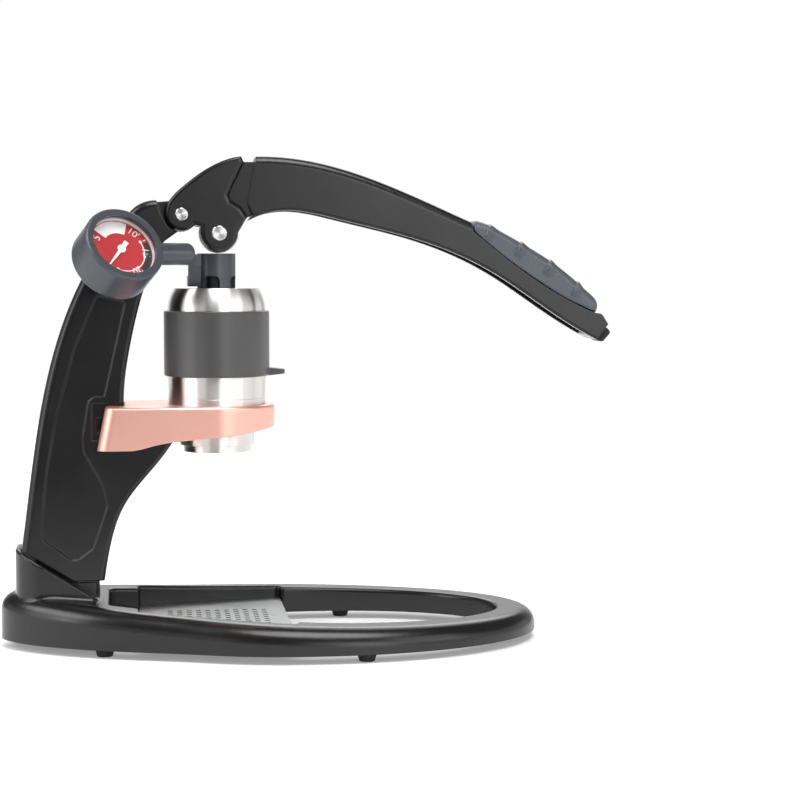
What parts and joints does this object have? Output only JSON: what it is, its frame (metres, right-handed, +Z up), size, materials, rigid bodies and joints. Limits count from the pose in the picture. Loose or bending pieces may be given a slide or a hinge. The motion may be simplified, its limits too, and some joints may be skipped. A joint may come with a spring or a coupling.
{
  "type": "manual espresso maker",
  "caption": "Lever-type manual espresso maker: egg-shaped base ring, curved post, arched lever with roller, brew cylinder in a sliding portafilter holder, pressure gauge and drip tray.",
  "frame": {"origin": "centre of the footprint of the whole object's box, on the surface it stands on", "axes": "+X along the lever from the post towards the grip, +Z up"},
  "size_m": [0.3274, 0.154, 0.2583],
  "materials": {
    "black_paint": "satin black paint over cast aluminium",
    "black_rubber": "matt",
    "steel_screw": "plain",
    "bronze": "plain bearing bronze",
    "brushed_stainless": "brushed",
    "turned_steel": "turned",
    "grip_rubber": "matt moulded rubber",
    "nylon": "turned nylon",
    "rose_anodised": "bead-blasted and anodised",
    "polished_stainless": "polished",
    "seal_rubber": "matt",
    "sleeve_silicone": "matt silicone",
    "slate_plastic": "satin moulded plastic",
    "clear_glass": "clear",
    "white_plastic": "satin",
    "red_dial": "printed",
    "brass_work": "plain",
    "white_needle": "painted"
  },
  "bodies": {
    "frame": {"base_ring": "black_paint", "rubber_feet": "black_rubber", "post": "black_paint", "post_screws": "steel_screw", "pivot_bush": "bronze"},
    "tray": {"drip_pan": "brushed_stainless", "drip_grille": "brushed_stainless"},
    "lever": {"lever_head": "black_paint", "lever_arm": "black_paint", "lever_stud": "steel_screw", "grip": "grip_rubber", "end_plug": "black_rubber", "pivot_pin": "turned_steel", "roller_pin": "turned_steel"},
    "roller": {"roller": "nylon"},
    "brew_head": {"portafilter_holder": "rose_anodised", "portafilter_cup": "polished_stainless", "filter_basket": "brushed_stainless", "dispersion_screen": "brushed_stainless", "brew_cylinder": "polished_stainless", "cylinder_seal": "seal_rubber", "silicone_sleeve": "sleeve_silicone"},
    "plunger": {"stem": "slate_plastic", "piston": "slate_plastic", "piston_seals": "seal_rubber", "piston_screw": "steel_screw", "gauge_case": "slate_plastic", "gauge_back": "slate_plastic", "gauge_lens": "clear_glass", "gauge_inner_ring": "white_plastic", "gauge_dial": "red_dial", "gauge_movement": "brass_work", "bourdon_tube": "brass_work", "gauge_fitting": "brass_work"},
    "needle": {"needle": "white_needle"}
  },
  "joints": [
    {"name": "lever_swing", "type": "hinge", "parent": "frame", "child": "lever", "pos_m": [-0.06765, 0, 0.2277], "axis": [0, -1, 0], "range_deg": [0, 60]},
    {"name": "roller_spin", "type": "hinge", "parent": "lever", "child": "roller", "pos_m": [-0.04795, 0, 0.2179], "axis": [0, 1, 0], "continuous": true},
    {"name": "holder_slide", "type": "slide", "parent": "frame", "child": "brew_head", "axis": [1, 0, 0], "range_m": [0, 0.06]},
    {"name": "stem_slide", "type": "slide", "parent": "brew_head", "child": "plunger", "axis": [0, 0, 1], "range_m": [0, 0.0206]},
    {"name": "needle_swing", "type": "hinge", "parent": "plunger", "child": "needle", "pos_m": [-0.1007, -0.04297, 0.2068], "axis": [-0.4047, 0.7453, -0.5299], "range_deg": [0, 270], "stiffness_Nm_per_rad": 0.0002},
    {"name": "tray_lift", "type": "slide", "parent": "frame", "child": "tray", "axis": [0, 0, 1], "range_m": [0, 0.04]}
  ],
  "couplings": [
    {"joint": "stem_slide", "follows": "lever_swing", "m_per_rad": 0.0196}
  ]
}
